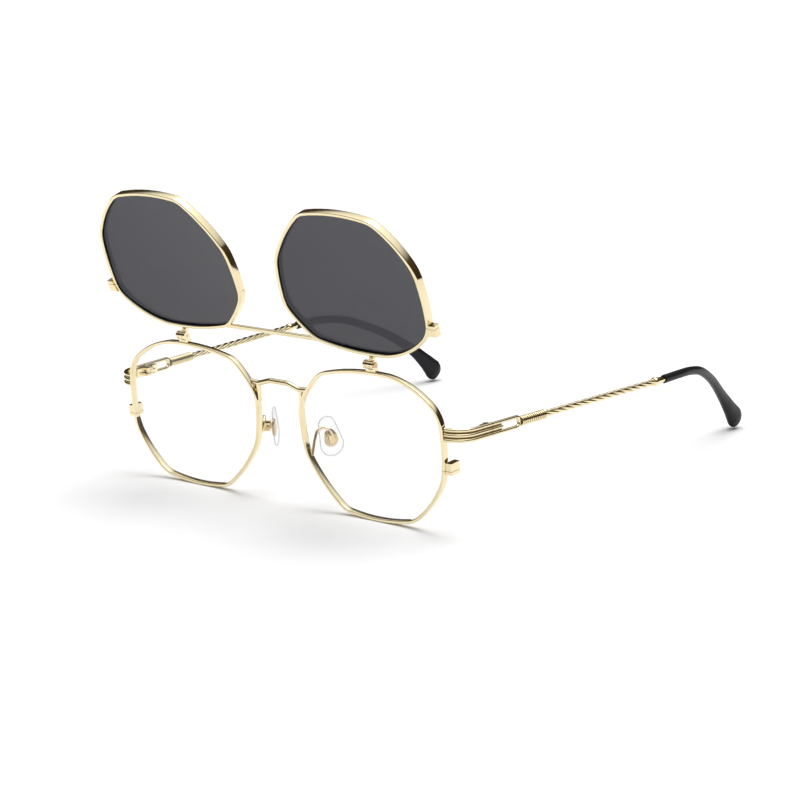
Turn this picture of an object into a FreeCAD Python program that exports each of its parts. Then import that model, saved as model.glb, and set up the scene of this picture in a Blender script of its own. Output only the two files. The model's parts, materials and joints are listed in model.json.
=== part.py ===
import FreeCAD, Part
import math
import os

from FreeCAD import Placement, Rotation, Vector

# Flip up sunglasses. Millimetres, +Z up, the wearer looks along -Y.
# Front pieces are drawn upright and then leant forward. The right half (+X) is drawn and mirrored.
# The flip frame is drawn closed, in front of the rims, and then turned up about its hinge.

# Lens opening of the right rim: each corner's x from the nose's middle, height and radius, and how far
# the side that follows it bows outwards.
LENS_CORNERS = [
    (57.7, 14.8, 12.9, 0.7),
    (57.6, 32.8, 8.9, 1.7),
    (40.9, 41.6, 9.0, 1.0),
    (16.8, 39.3, 6.9, 0.5),
    (8.8, 29.7, 7.7, 0.5),
    (10.1, 15.7, 12.0, 1.0),
    (22.7, 1.0, 7.0, 1.3),
    (47.0, 1.5, 8.5, 1.1),
]
LENS_MIDDLE_X = 34.0
LENS_MIDDLE_Z = 21.0
LENS_BALL_RADIUS = 260.0
EDGE_RADIUS = 23.4        # the lens crosses the rim's middle plane this far from the lens middle
FRONT_LEAN = 4.3

RIM_WIDTH = 1.05
RIM_DEPTH = 2.0
RIM_BEVEL = 0.28
GROOVE_DEPTH = 0.35
LENS_THICKNESS = 1.0
RIM_SIDE_X = 59.4         # outer face of a rim at the ear side
CUT_REACH = 12.0          # how far cutting tools reach either side of the rims

LOCK_SLIT = 0.12
LOCK_START_X = 57.0
LOCK_REACH = 1.9
LOCK_ABOVE = 2.3
LOCK_BELOW = 1.0
LOCK_EDGE_RADIUS = 0.35
LOCK_SCREW_RADIUS = 0.5
LOCK_HEAD_RADIUS = 0.8
LOCK_HEAD_HEIGHT = 0.45
LOCK_HEAD_SUNK = 0.55     # seat of the head below the upper block's top
LOCK_SCREW_IN = 1.1       # screw's axis from the block's outer face
LOCK_SCREW_FORWARD = 1.3  # screw's axis from the block's back
LOCK_FLOOR = 0.3          # metal left under the screw
MAIN_LOCK_Z = 17.6
MAIN_LOCK_FRONT = -0.5
MAIN_LOCK_BACK = 3.5
FLIP_LOCK_Z = 31.0
FLIP_LOCK_FRONT = -3.4
FLIP_LOCK_BACK = -1.2
SCREW_SLOT_WIDTH = 0.22
SCREW_SLOT_DEPTH = 0.2

# Right half of the bridge's wire, x and height: level top, dip, and the rise into the rim.
BRIDGE_POINTS = [(3.4, 34.9), (7.6, 33.6), (11.8, 33.9)]
BRIDGE_Y = 0.5
BRIDGE_RADIUS = 0.78
BRIDGE_BEND = 4.0
BRIDGE_FOOT_X = 8.0
BRIDGE_FOOT_RADIUS = 0.75
BRIDGE_TOE_Z = 28.8

FLIP_GAP = 2.8            # flip rim's middle in front of the main rim's middle when closed
FLIP_RIM_DEPTH = 2.6
FLIP_OPEN_ANGLE = 165.0
FLIP_AXIS_Y = -0.8
FLIP_AXIS_Z = 44.9
FLIP_HINGE_X = 35.3
FLIP_KNUCKLE_RADIUS = 1.25
FLIP_KNUCKLE_WIDTH = 1.4
FLIP_LEG_WIDTH = 0.9
FLIP_PIN_RADIUS = 0.45
FLIP_HEAD_RADIUS = 0.8
FLIP_HEAD_HEIGHT = 0.4
BRACKET_FRONT = -0.75
BRACKET_BACK = 0.85
BRACKET_FOOT_Z = 41.0
BRACKET_TOP_Z = 43.4
BRACKET_LEG_BACK = 0.45
# Side view of the flip lug's tongue, y from the flip rim's middle and height, up to the hinge's axis.
LUG_POINTS = [(-0.6, 43.4), (-0.6, 41.5), (0.4, 41.5), (0.5, 43.2)]
LUG_FRONT = 1.2           # tongue's start in front of the hinge's axis
LUG_BELOW = 0.7           # tongue's end below the hinge's axis
FLIP_BAR_Z = 40.4
FLIP_BAR_END_X = 21.5
FLIP_BAR_HALF_HEIGHT = 0.65
FLIP_BAR_HALF_DEPTH = 0.5
FLIP_BAR_EDGE_RADIUS = 0.35
SIDE_CLEARANCE = 0.1
RUNNING_FIT = 0.05
TINY = 0.001

BAR_HEIGHT = 28.97        # temple bar's axis above the table
SPLIT_X = 65.9
SPLIT_Y = 10.15
SPLAY = 4.36
RIB_PITCH = 1.45
RIB_RADIUS = 0.56
PLATE_BACK = 0.45
CORNER_RADIUS = 6.0
END_START_X = 57.5
END_START_Y = -1.95
SPLIT_GAP = 0.12

HINGE_INSET = 1.9         # fold axis inside the temple's middle line
HINGE_RADIUS = 1.2
HINGE_PIN_RADIUS = 0.5
HINGE_HALF_HEIGHT = 1.15
HINGE_MIDDLE_HALF = 0.45
LEAF_START = 1.55
LEAF_END = 4.8
LEAF_THICKNESS = 0.7
WEB_GAP = 0.25            # hinge web's clearance from the fold axis
WEB_LAP = 0.4
WEB_INSET = 0.2
HINGE_HEAD_RADIUS = 0.95
HINGE_HEAD_HEIGHT = 0.3

BAR_X = RIB_RADIUS - PLATE_BACK
MIDDLE_RIB_END = 4.2
LOOP_END = 12.3
LOOP_PAD_HALF = 0.4       # pads that carry the hinge leaf past the plate, inside the rib's middle
PLATE_INSET = 0.05
FERRULE_LAP = 0.35
FERRULE_END = 22.7
FERRULE_RINGS = 13
FERRULE_RADIUS = 1.1
RING_RADIUS = 1.4
RING_SLOPE = 0.3          # share of a ring's length taken by each sloping side
TWIST_END = 73.5
TWIST_STRANDS = 4
TWIST_LEAD = 13.6
TWIST_RADIUS = 0.92       # mean radius of the twisted bar's lobed section
TWIST_LOBE = 0.1
TWIST_SIDES = 16
TWIST_STEPS = 18          # rings of the section per full turn
BEAD_RADIUS = 1.4
BEAD_LENGTH = 1.7
COLLAR_RADIUS = 1.0
TIP_START = 78.6
CORE_RADIUS = 0.6
CORE_LENGTH = 8.0

# Tip: sideways, along and above the bar's axis at its start, then height and thickness there.
TIP_SECTIONS = [
    (0.0, 78.6, 0.0, 2.6, 2.5),
    (-0.6, 87.5, 0.0, 2.6, 2.5),
    (-2.0, 95.0, -0.6, 2.6, 2.5),
    (-4.2, 103.5, -2.6, 2.7, 2.5),
    (-9.0, 116.0, -8.3, 2.9, 2.6),
    (-12.9, 126.6, -15.3, 3.7, 2.8),
    (-14.6, 133.4, -21.0, 5.3, 3.1),
    (-15.2, 136.6, -24.1, 7.1, 3.3),
    (-15.5, 138.8, -26.1, 7.2, 3.1),
    (-15.6, 139.5, -26.7, 5.7, 2.2),
]

PAD_MIDDLE = Vector(12.2, 7.7, 18.0)
PAD_FACE_ANGLE = 30.0
PAD_LEAN = 11.4
PAD_TOP_RADIUS = 2.7
PAD_FOOT_RADIUS = 3.7
PAD_TOP_Z = 3.4
PAD_FOOT_Z = -2.7
PAD_BACK = 1.2
PAD_THICKNESS = 1.9
PAD_BEVEL = 0.6
PAD_PIN_RADIUS = 0.4
PAD_HEAD_RADIUS = 0.65
PAD_HEAD_HEIGHT = 0.4
STEM_BACK = -0.6
STEM_HALF_WIDTH = 0.45
STEM_HALF_HEIGHT = 0.75
FORK_BACK = -1.3
FORK_FRONT = 0.75
FORK_HALF = 1.2
FORK_WALL = 0.35
FORK_SLOT_HALF = 0.62
PAD_ARM_RADIUS = 0.45
PAD_ARM_BEND = 1.2
# Corners of the arm's wire: from the back of the rim, up and over, down to the fork.
PAD_ARM_POINTS = [
    (10.6, 0.4, 14.6),
    (10.1, 2.3, 18.0),
    (10.1, 3.8, 20.8),
    (11.2, 5.3, 21.7),
    (13.0, 6.3, 20.9),
    (13.6, 6.9, 18.4),
]

FASTENERS = ("lock_screw", "flip_lock_screw", "pad_screw", "hinge_screw", "flip_pin")


def mirrored(shape):
    return shape.mirror(Vector(0, 0, 0), Vector(1, 0, 0))


def true_bounds(shape):
    return shape.optimalBoundingBox(False, False)


def box(x0, x1, y0, y1, z0, z1):
    return Part.makeBox(x1 - x0, y1 - y0, z1 - z0, Vector(x0, y0, z0))


def rod(start, end, radius):
    return Part.makeCylinder(radius, (end - start).Length, start, end - start)


def fused(first, *others):
    return first.fuse(list(others)).removeSplitter()


def bowed_side(i):
    """Centre and radius of the arc along the side that follows a corner of the opening."""
    x0, z0, _, bow = LENS_CORNERS[i]
    x1, z1, _, _ = LENS_CORNERS[(i + 1) % len(LENS_CORNERS)]
    chord = Vector(x1 - x0, 0, z1 - z0)
    radius = (chord.Length ** 2 / 4 + bow ** 2) / (2 * bow)
    out = Vector(chord.z, 0, -chord.x).normalize()
    middle = Vector(x0, 0, z0) + chord * 0.5
    return middle - out * (radius - bow), radius


def corner_centre(i):
    """Centre of a rounded corner that touches the sides before and after it."""
    x, z, radius, _ = LENS_CORNERS[i]
    before, first_reach = bowed_side(i - 1)
    after, second_reach = bowed_side(i)
    gap = after - before
    across = Vector(-gap.z, 0, gap.x).normalize()
    first, second = (first_reach - radius) ** 2, (second_reach - radius) ** 2
    share = (first - second + gap.Length ** 2) / (2 * gap.Length ** 2)
    foot = before + gap * share
    off = math.sqrt(first - (foot - before).Length ** 2)
    return min((foot + across * off, foot - across * off), key=lambda c: c.distanceToPoint(Vector(x, 0, z)))


def opening_arcs(grow):
    """Start, end and centre of each arc round the opening, corner and side in turn, grown outwards."""
    count = len(LENS_CORNERS)
    centres = [corner_centre(i) for i in range(count)]
    arcs = []
    for i in range(count):
        j = (i + 1) % count
        before, _ = bowed_side(i - 1)
        after, _ = bowed_side(i)
        radius = LENS_CORNERS[i][2] + grow
        start = centres[i] + (centres[i] - before).normalize() * radius
        end = centres[i] + (centres[i] - after).normalize() * radius
        last = centres[j] + (centres[j] - after).normalize() * (LENS_CORNERS[j][2] + grow)
        arcs += [(start, end, centres[i]), (end, last, after)]
    return arcs


def outline(grow):
    """Closed wire of the lens opening, grown outwards by an even amount, in the plane y = 0."""
    edges = []
    for start, end, centre in opening_arcs(grow):
        towards = (start + end) * 0.5 - centre
        middle = centre + towards.normalize() * start.distanceToPoint(centre)
        edges.append(Part.Arc(start, middle, end).toShape())
    return Part.Wire(edges)


def slab(grow):
    face = Part.Face(outline(grow))
    face.translate(Vector(0, -CUT_REACH, 0))
    return face.extrude(Vector(0, 2 * CUT_REACH, 0))


def bowl(grow, thickness, forward):
    """The outline cut from a ball shell: the curved sheet of a lens, which also cuts the rim's groove."""
    vertex = -EDGE_RADIUS ** 2 / (2 * LENS_BALL_RADIUS) - forward
    middle = Vector(LENS_MIDDLE_X, vertex + LENS_BALL_RADIUS, LENS_MIDDLE_Z)
    outer = Part.makeSphere(LENS_BALL_RADIUS + thickness / 2, middle)
    inner = Part.makeSphere(LENS_BALL_RADIUS - thickness / 2, middle)
    return slab(grow).common(outer).cut(inner)


def rim_section(depth, edge, out):
    """Bevelled bar section outside a point of the opening's edge."""
    half = depth / 2
    sides = [(0, half - RIM_BEVEL), (RIM_BEVEL, half), (RIM_WIDTH - RIM_BEVEL, half),
             (RIM_WIDTH, half - RIM_BEVEL)]
    sides += [(across, -y) for across, y in reversed(sides)]
    points = [edge + out * across + Vector(0, y, 0) for across, y in sides]
    return Part.Face(Part.makePolygon(points + points[:1]))


def rim(depth, forward, slit_z):
    """Wire frame round the opening, with a groove for the lens, cut through at its lock."""
    pieces = []
    for start, end, centre in opening_arcs(0):
        out = (start - centre).normalize()
        turn = math.degrees(out.getAngle(end - centre))
        pieces.append(rim_section(depth, start, out).revolve(centre, Vector(0, -1, 0), turn))
    ring = fused(*pieces)
    ring.translate(Vector(0, -forward, 0))
    half = LOCK_SLIT / 2
    slit = box(LENS_MIDDLE_X, 2 * LENS_MIDDLE_X, -CUT_REACH, CUT_REACH, slit_z - half, slit_z + half)
    return ring.cut(bowl(GROOVE_DEPTH, LENS_THICKNESS, forward)).cut(slit)


def slotted_head(foot, radius, height):
    """Screw head along +Z with a straight slot."""
    slot_z = foot.z + height - SCREW_SLOT_DEPTH
    half = SCREW_SLOT_WIDTH / 2
    slot = box(foot.x - radius, foot.x + radius, foot.y - half, foot.y + half, slot_z, foot.z + height)
    return Part.makeCylinder(radius, height, foot).cut(slot)


def lock(slit_z, front, back):
    """Two blocks on the rim's cut ends, and the screw that draws them together."""
    reach = RIM_SIDE_X + LOCK_REACH
    top, bottom = slit_z + LOCK_ABOVE, slit_z - LOCK_BELOW
    body = box(LOCK_START_X, reach, front, back, bottom, top).cut(slab(RIM_WIDTH))
    upright = [e for e in body.Edges
               if e.BoundBox.ZLength > top - bottom - TINY and e.BoundBox.XMin > reach - TINY]
    body = body.makeFillet(LOCK_EDGE_RADIUS, upright)
    foot = Vector(reach - LOCK_SCREW_IN, back - LOCK_SCREW_FORWARD, bottom + LOCK_FLOOR)
    seat = Vector(foot.x, foot.y, top - LOCK_HEAD_SUNK)
    stem = rod(foot, seat, LOCK_SCREW_RADIUS)
    head = slotted_head(seat, LOCK_HEAD_RADIUS, LOCK_HEAD_HEIGHT)
    body = body.cut(stem).cut(Part.makeCylinder(LOCK_HEAD_RADIUS, LOCK_HEAD_SUNK, seat))
    half = LOCK_SLIT / 2
    lower = body.common(box(LOCK_START_X, reach, front, back, bottom, slit_z - half))
    upper = body.common(box(LOCK_START_X, reach, front, back, slit_z + half, top))
    return upper, lower, fused(stem, head)


def bent_rod(points, radius, bend):
    """Round wire along straight runs joined by bends of one radius."""
    pieces = []
    start = points[0]
    for before, corner, after in zip(points, points[1:], points[2:]):
        heading = (corner - before).normalize()
        turn = (after - corner).normalize()
        half = math.acos(heading.dot(turn)) / 2
        run = bend * math.tan(half)
        begin = corner - heading * run
        axis = heading.cross(turn).normalize()
        centre = begin + axis.cross(heading) * bend
        if (begin - start).Length > TINY:
            pieces.append(rod(start, begin, radius))
        ring = Part.Face(Part.Wire(Part.makeCircle(radius, begin, heading)))
        pieces.append(ring.revolve(centre, axis, math.degrees(2 * half)))
        start = corner + turn * run
    pieces.append(rod(start, points[-1], radius))
    return fused(*pieces)


def bridge():
    """Bent wire between the rims, with a foot down the nose side of each."""
    right = [Vector(x, BRIDGE_Y, z) for x, z in BRIDGE_POINTS]
    left = [Vector(-p.x, p.y, p.z) for p in reversed(right)]
    pieces = [bent_rod(left + right, BRIDGE_RADIUS, BRIDGE_BEND)]
    dip_z = BRIDGE_POINTS[1][1]
    for x in (BRIDGE_FOOT_X, -BRIDGE_FOOT_X):
        toe = Vector(x, BRIDGE_Y, BRIDGE_TOE_Z)
        knee = Vector(x, BRIDGE_Y, dip_z)
        pieces += [rod(knee, toe, BRIDGE_FOOT_RADIUS), Part.makeSphere(BRIDGE_FOOT_RADIUS, toe)]
    side = slab(RIM_WIDTH)
    body = fused(*pieces).cut(side).cut(mirrored(side))
    return max(body.Solids, key=lambda s: s.Volume)


def pad_place(shape):
    """From the pad's own frame (+X to the nose, +Y across, +Z up the pad) to the front's frame."""
    lean = Rotation(Vector(1, 0, 0), -PAD_LEAN)
    face = Rotation(Vector(0, 0, 1), 180 - PAD_FACE_ANGLE)
    shape.Placement = Placement(PAD_MIDDLE, face.multiply(lean))
    return shape


def nose_pad():
    """Soft drop shaped pad: the hull of a small upper circle and a larger lower one."""
    drop = PAD_TOP_Z - PAD_FOOT_Z
    tilt = math.asin((PAD_FOOT_RADIUS - PAD_TOP_RADIUS) / drop)
    across = math.cos(tilt)
    up = math.sin(tilt)
    x = PAD_BACK
    top = [Vector(x, s * PAD_TOP_RADIUS * across, PAD_TOP_Z + PAD_TOP_RADIUS * up) for s in (1, -1)]
    foot = [Vector(x, s * PAD_FOOT_RADIUS * across, PAD_FOOT_Z + PAD_FOOT_RADIUS * up) for s in (-1, 1)]
    edges = [
        Part.Arc(top[0], Vector(x, 0, PAD_TOP_Z + PAD_TOP_RADIUS), top[1]).toShape(),
        Part.makeLine(top[1], foot[0]),
        Part.Arc(foot[0], Vector(x, 0, PAD_FOOT_Z - PAD_FOOT_RADIUS), foot[1]).toShape(),
        Part.makeLine(foot[1], top[0]),
    ]
    body = Part.Face(Part.Wire(edges)).extrude(Vector(PAD_THICKNESS, 0, 0))
    rims = [e for e in body.Edges if e.BoundBox.XLength < TINY]
    return pad_place(body.makeChamfer(PAD_BEVEL, rims))


def pad_bore(radius):
    return rod(Vector(0, -FORK_HALF, 0), Vector(0, FORK_HALF, 0), radius)


def pad_stem():
    body = box(STEM_BACK, PAD_BACK, -STEM_HALF_WIDTH, STEM_HALF_WIDTH, -STEM_HALF_HEIGHT, STEM_HALF_HEIGHT)
    return pad_place(body.cut(pad_bore(PAD_PIN_RADIUS + RUNNING_FIT)))


def pad_box():
    """Fork that carries the pad: a back wall and two cheeks with the pin's holes."""
    body = box(FORK_BACK, FORK_FRONT, -FORK_HALF, FORK_HALF, -FORK_HALF, FORK_HALF)
    inside = box(FORK_BACK + FORK_WALL, FORK_FRONT, -FORK_SLOT_HALF, FORK_SLOT_HALF, -FORK_HALF, FORK_HALF)
    return pad_place(body.cut(inside).cut(pad_bore(PAD_PIN_RADIUS)))


def pad_screw():
    end = Vector(0, FORK_HALF, 0)
    head = rod(end, end + Vector(0, PAD_HEAD_HEIGHT, 0), PAD_HEAD_RADIUS)
    return pad_place(fused(pad_bore(PAD_PIN_RADIUS), head))


def pad_arm(*seats):
    """Wire loop from the back of the rim, up and over, down to the pad's fork."""
    wire = bent_rod([Vector(*point) for point in PAD_ARM_POINTS], PAD_ARM_RADIUS, PAD_ARM_BEND)
    body = wire.cut(list(seats))
    return max(body.Solids, key=lambda s: s.Volume)


def flip_knuckle(x0, x1, bore):
    axis = Vector(x0, FLIP_AXIS_Y, FLIP_AXIS_Z)
    return (Part.makeCylinder(FLIP_KNUCKLE_RADIUS, x1 - x0, axis, Vector(1, 0, 0)),
            Part.makeCylinder(bore, x1 - x0, axis, Vector(1, 0, 0)))


def flip_bracket():
    """Base on the rim's top with a knuckle at each end."""
    half = FLIP_KNUCKLE_WIDTH / 2 + SIDE_CLEARANCE
    outer = half + FLIP_LEG_WIDTH
    base = box(FLIP_HINGE_X - outer, FLIP_HINGE_X + outer, BRACKET_FRONT, BRACKET_BACK,
               BRACKET_FOOT_Z, BRACKET_TOP_Z)
    pieces = []
    bores = []
    for x0 in (FLIP_HINGE_X - outer, FLIP_HINGE_X + half):
        knuckle, bore = flip_knuckle(x0, x0 + FLIP_LEG_WIDTH, FLIP_PIN_RADIUS)
        leg = box(x0, x0 + FLIP_LEG_WIDTH, BRACKET_FRONT, BRACKET_LEG_BACK, BRACKET_FOOT_Z, FLIP_AXIS_Z)
        pieces += [knuckle, leg]
        bores.append(bore)
    return fused(base, *pieces).cut(bores).cut(slab(RIM_WIDTH))


def flip_pin():
    outer = FLIP_KNUCKLE_WIDTH / 2 + SIDE_CLEARANCE + FLIP_LEG_WIDTH
    head = slotted_head(Vector(0, 0, outer), FLIP_HEAD_RADIUS, FLIP_HEAD_HEIGHT)
    pin = fused(rod(Vector(0, 0, -outer), Vector(0, 0, outer), FLIP_PIN_RADIUS), head)
    pin.rotate(Vector(0, 0, 0), Vector(0, 1, 0), 90)
    pin.translate(Vector(FLIP_HINGE_X, FLIP_AXIS_Y, FLIP_AXIS_Z))
    return pin


def flip_lug():
    """Middle knuckle with the tongue that holds the flip rim."""
    x0 = FLIP_HINGE_X - FLIP_KNUCKLE_WIDTH / 2
    x1 = FLIP_HINGE_X + FLIP_KNUCKLE_WIDTH / 2
    knuckle, bore = flip_knuckle(x0, x1, FLIP_PIN_RADIUS + RUNNING_FIT)
    face = [Vector(x0, FLIP_AXIS_Y - LUG_FRONT, FLIP_AXIS_Z)]
    face += [Vector(x0, y - FLIP_GAP, z) for y, z in LUG_POINTS]
    face.append(Vector(x0, FLIP_AXIS_Y, FLIP_AXIS_Z - LUG_BELOW))
    tongue = Part.Face(Part.makePolygon(face + face[:1])).extrude(Vector(x1 - x0, 0, 0))
    return fused(knuckle, tongue).cut(bore).cut(slab(RIM_WIDTH))


def flip_bar():
    """Flat brow bar that ties the two flip rims together."""
    body = box(-FLIP_BAR_END_X, FLIP_BAR_END_X,
               -FLIP_GAP - FLIP_BAR_HALF_DEPTH, -FLIP_GAP + FLIP_BAR_HALF_DEPTH,
               FLIP_BAR_Z - FLIP_BAR_HALF_HEIGHT, FLIP_BAR_Z + FLIP_BAR_HALF_HEIGHT)
    long_edges = [e for e in body.Edges if e.BoundBox.XLength > FLIP_BAR_END_X]
    side = slab(RIM_WIDTH)
    body = body.makeFillet(FLIP_BAR_EDGE_RADIUS, long_edges).cut(side).cut(mirrored(side))
    return max(body.Solids, key=lambda s: s.Volume)


def rib_profile():
    """Cross section of the end piece at its start: three half round ribs on a flat back."""
    front = -BAR_X
    half = RIB_PITCH + RIB_RADIUS
    edges = [Part.makeLine(Vector(0, PLATE_BACK, -half), Vector(0, PLATE_BACK, half)),
             Part.makeLine(Vector(0, PLATE_BACK, half), Vector(0, front, half))]
    for z in (RIB_PITCH, 0.0, -RIB_PITCH):
        top = Vector(0, front, z + RIB_RADIUS)
        foot = Vector(0, front, z - RIB_RADIUS)
        edges.append(Part.Arc(top, Vector(0, front - RIB_RADIUS, z), foot).toShape())
        if z > -RIB_PITCH:
            edges.append(Part.makeLine(foot, Vector(0, front, z - RIB_PITCH + RIB_RADIUS)))
    edges.append(Part.makeLine(Vector(0, front, -half), Vector(0, PLATE_BACK, -half)))
    return Part.Face(Part.Wire(edges))


def end_piece():
    """Ribbed corner from the rim's side round to the temple's hinge."""
    angle = math.radians(SPLAY)
    along = Vector(math.sin(angle), math.cos(angle), 0)
    split = Vector(SPLIT_X, SPLIT_Y, BAR_HEIGHT) - along * (SPLIT_GAP / 2)
    turn = math.pi / 2 - angle
    turn_y = END_START_Y + CORNER_RADIUS * (1 - math.cos(turn))
    straight = (split.y - turn_y) / along.y
    turned = split - along * straight
    bend = Vector(turned.x - CORNER_RADIUS * math.sin(turn), END_START_Y, BAR_HEIGHT)
    start = Vector(END_START_X, END_START_Y, BAR_HEIGHT)
    profile = rib_profile()
    profile.translate(start)
    straight_run = profile.extrude(bend - start)
    profile.translate(bend - start)
    centre = bend + Vector(0, CORNER_RADIUS, 0)
    corner = profile.revolve(centre, Vector(0, 0, 1), math.degrees(turn))
    profile.rotate(centre, Vector(0, 0, 1), math.degrees(turn))
    return fused(straight_run, corner, profile.extrude(split - turned))


def front_place(shape, lift):
    shape = shape.copy()
    shape.rotate(Vector(0, 0, 0), Vector(1, 0, 0), FRONT_LEAN)
    shape.translate(Vector(0, 0, lift))
    return shape


def flip_place(shape, lift):
    shape = shape.copy()
    shape.rotate(Vector(0, FLIP_AXIS_Y, FLIP_AXIS_Z), Vector(1, 0, 0), -FLIP_OPEN_ANGLE)
    return front_place(shape, lift)


def temple_place(shape):
    """From the temple's own frame (+X outwards, +Y along the bar from the split) to the glasses."""
    shape.rotate(Vector(0, 0, 0), Vector(0, 0, 1), -SPLAY)
    shape.translate(Vector(SPLIT_X, SPLIT_Y, BAR_HEIGHT))
    return shape


def hinge_knuckle(z0, z1, bore):
    axis = Vector(-HINGE_INSET, 0, z0)
    return Part.makeCylinder(HINGE_RADIUS, z1 - z0, axis).cut(Part.makeCylinder(bore, z1 - z0, axis))


def front_hinge():
    """Leaf on the end piece's inside with the upper and lower knuckles."""
    inside = -PLATE_BACK - LEAF_THICKNESS
    web_inside = WEB_INSET - HINGE_INSET - HINGE_RADIUS
    leaf = box(inside, -PLATE_BACK, -LEAF_END, -LEAF_START, -HINGE_HALF_HEIGHT, HINGE_HALF_HEIGHT)
    pieces = []
    for z0, z1 in ((HINGE_MIDDLE_HALF + SIDE_CLEARANCE, HINGE_HALF_HEIGHT),
                   (-HINGE_HALF_HEIGHT, -HINGE_MIDDLE_HALF - SIDE_CLEARANCE)):
        bore = Part.makeCylinder(HINGE_PIN_RADIUS, z1 - z0, Vector(-HINGE_INSET, 0, z0))
        web = box(web_inside, -PLATE_BACK, -LEAF_START - WEB_LAP, -WEB_GAP, z0, z1)
        pieces += [hinge_knuckle(z0, z1, HINGE_PIN_RADIUS), web.cut(bore)]
    return fused(leaf, *pieces)


def temple_hinge():
    """Leaf on the temple's inside with the middle knuckle."""
    inside = -PLATE_BACK - LEAF_THICKNESS
    leaf = box(inside, -PLATE_BACK, LEAF_START, LEAF_END, -HINGE_HALF_HEIGHT, HINGE_HALF_HEIGHT)
    z = HINGE_MIDDLE_HALF
    bore = Part.makeCylinder(HINGE_PIN_RADIUS + RUNNING_FIT, 2 * z, Vector(-HINGE_INSET, 0, -z))
    web_inside = WEB_INSET - HINGE_INSET - HINGE_RADIUS
    web = box(web_inside, -PLATE_BACK, WEB_GAP, LEAF_START + WEB_LAP, -z, z)
    return fused(leaf, hinge_knuckle(-z, z, HINGE_PIN_RADIUS + RUNNING_FIT), web.cut(bore))


def hinge_screw():
    foot = Vector(-HINGE_INSET, 0, -HINGE_HALF_HEIGHT)
    top = Vector(-HINGE_INSET, 0, HINGE_HALF_HEIGHT)
    return fused(rod(foot, top, HINGE_PIN_RADIUS), slotted_head(top, HINGE_HEAD_RADIUS, HINGE_HEAD_HEIGHT))


def temple_loop():
    """Outer ribs drawn out into a loop, the middle rib stopping short, on a short back plate."""
    begin = SPLIT_GAP / 2
    x = BAR_X
    turn_y = LOOP_END - RIB_PITCH - RIB_RADIUS
    points = [Vector(x, begin, RIB_PITCH), Vector(x, turn_y + RIB_PITCH, RIB_PITCH),
              Vector(x, turn_y + RIB_PITCH, -RIB_PITCH), Vector(x, begin, -RIB_PITCH)]
    loop = bent_rod(points, RIB_RADIUS, RIB_PITCH)
    middle_end = Vector(x, MIDDLE_RIB_END, 0)
    middle = rod(Vector(x, begin, 0), middle_end, RIB_RADIUS)
    half = RIB_PITCH + RIB_RADIUS - PLATE_INSET
    inner = RIB_PITCH - LOOP_PAD_HALF
    plate = box(-PLATE_BACK, x, begin, MIDDLE_RIB_END, -half, half)
    upper = box(-PLATE_BACK, x, begin, LEAF_END, inner, half)
    lower = box(-PLATE_BACK, x, begin, LEAF_END, -half, -inner)
    return fused(loop, middle, Part.makeSphere(RIB_RADIUS, middle_end), plate, upper, lower)


def ferrule():
    """Turned sleeve with rounded rings."""
    begin = LOOP_END - FERRULE_LAP
    pitch = (FERRULE_END - begin) / FERRULE_RINGS
    edges = [Part.makeLine(Vector(0, begin, 0), Vector(FERRULE_RADIUS, begin, 0))]
    for i in range(FERRULE_RINGS):
        y0 = begin + i * pitch
        foot = Vector(FERRULE_RADIUS, y0, 0)
        end = Vector(FERRULE_RADIUS, y0 + pitch, 0)
        low = Vector(RING_RADIUS, y0 + pitch * RING_SLOPE, 0)
        high = Vector(RING_RADIUS, y0 + pitch * (1 - RING_SLOPE), 0)
        edges += Part.makePolygon([foot, low, high, end]).Edges
    edges.append(Part.makeLine(Vector(FERRULE_RADIUS, FERRULE_END, 0), Vector(0, FERRULE_END, 0)))
    edges.append(Part.makeLine(Vector(0, FERRULE_END, 0), Vector(0, begin, 0)))
    body = Part.Face(Part.Wire(edges)).revolve(Vector(0, 0, 0), Vector(0, 1, 0), 360)
    body.translate(Vector(BAR_X, 0, 0))
    return body


def twisted_bar():
    """Strands wound about each other: a section with a lobe for each, which turns as it goes along."""
    length = TWIST_END - FERRULE_END
    count = round(length / TWIST_LEAD * TWIST_STEPS)
    rings = []
    for i in range(count + 1):
        y = FERRULE_END + length * i / count
        turn = -2 * math.pi * (y - FERRULE_END) / TWIST_LEAD
        ring = []
        for k in range(TWIST_SIDES):
            angle = 2 * math.pi * k / TWIST_SIDES
            radius = TWIST_RADIUS + TWIST_LOBE * math.cos(TWIST_STRANDS * angle)
            ring.append(Vector(BAR_X + radius * math.cos(angle + turn), y, radius * math.sin(angle + turn)))
        rings.append(ring)
    loops = [rings[0], rings[-1]]
    for near, far in zip(rings, rings[1:]):
        for k in range(TWIST_SIDES):
            loops.append([near[k - 1], near[k], far[k]])
            loops.append([near[k - 1], far[k], far[k - 1]])
    faces = [Part.Face(Part.makePolygon(loop + loop[:1])) for loop in loops]
    shell = Part.Shell(faces)
    shell.sewShape()
    return Part.Solid(shell)


def bead_collar():
    """Bead and plain sleeve at the bar's end, with the core wire that goes into the tip."""
    bead_end = TWIST_END + BEAD_LENGTH
    core_end = TIP_START + CORE_LENGTH
    begin = Vector(COLLAR_RADIUS, TWIST_END, 0)
    neck = Vector(COLLAR_RADIUS, bead_end, 0)
    bead = Part.Arc(begin, Vector(BEAD_RADIUS, TWIST_END + BEAD_LENGTH / 2, 0), neck).toShape()
    sides = [neck, Vector(COLLAR_RADIUS, TIP_START, 0), Vector(CORE_RADIUS, TIP_START, 0),
             Vector(CORE_RADIUS, core_end, 0), Vector(0, core_end, 0), Vector(0, TWIST_END, 0), begin]
    profile = Part.Wire([bead] + Part.makePolygon(sides).Edges)
    return Part.Face(profile).revolve(Vector(0, 0, 0), Vector(0, 1, 0), 360)


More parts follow.
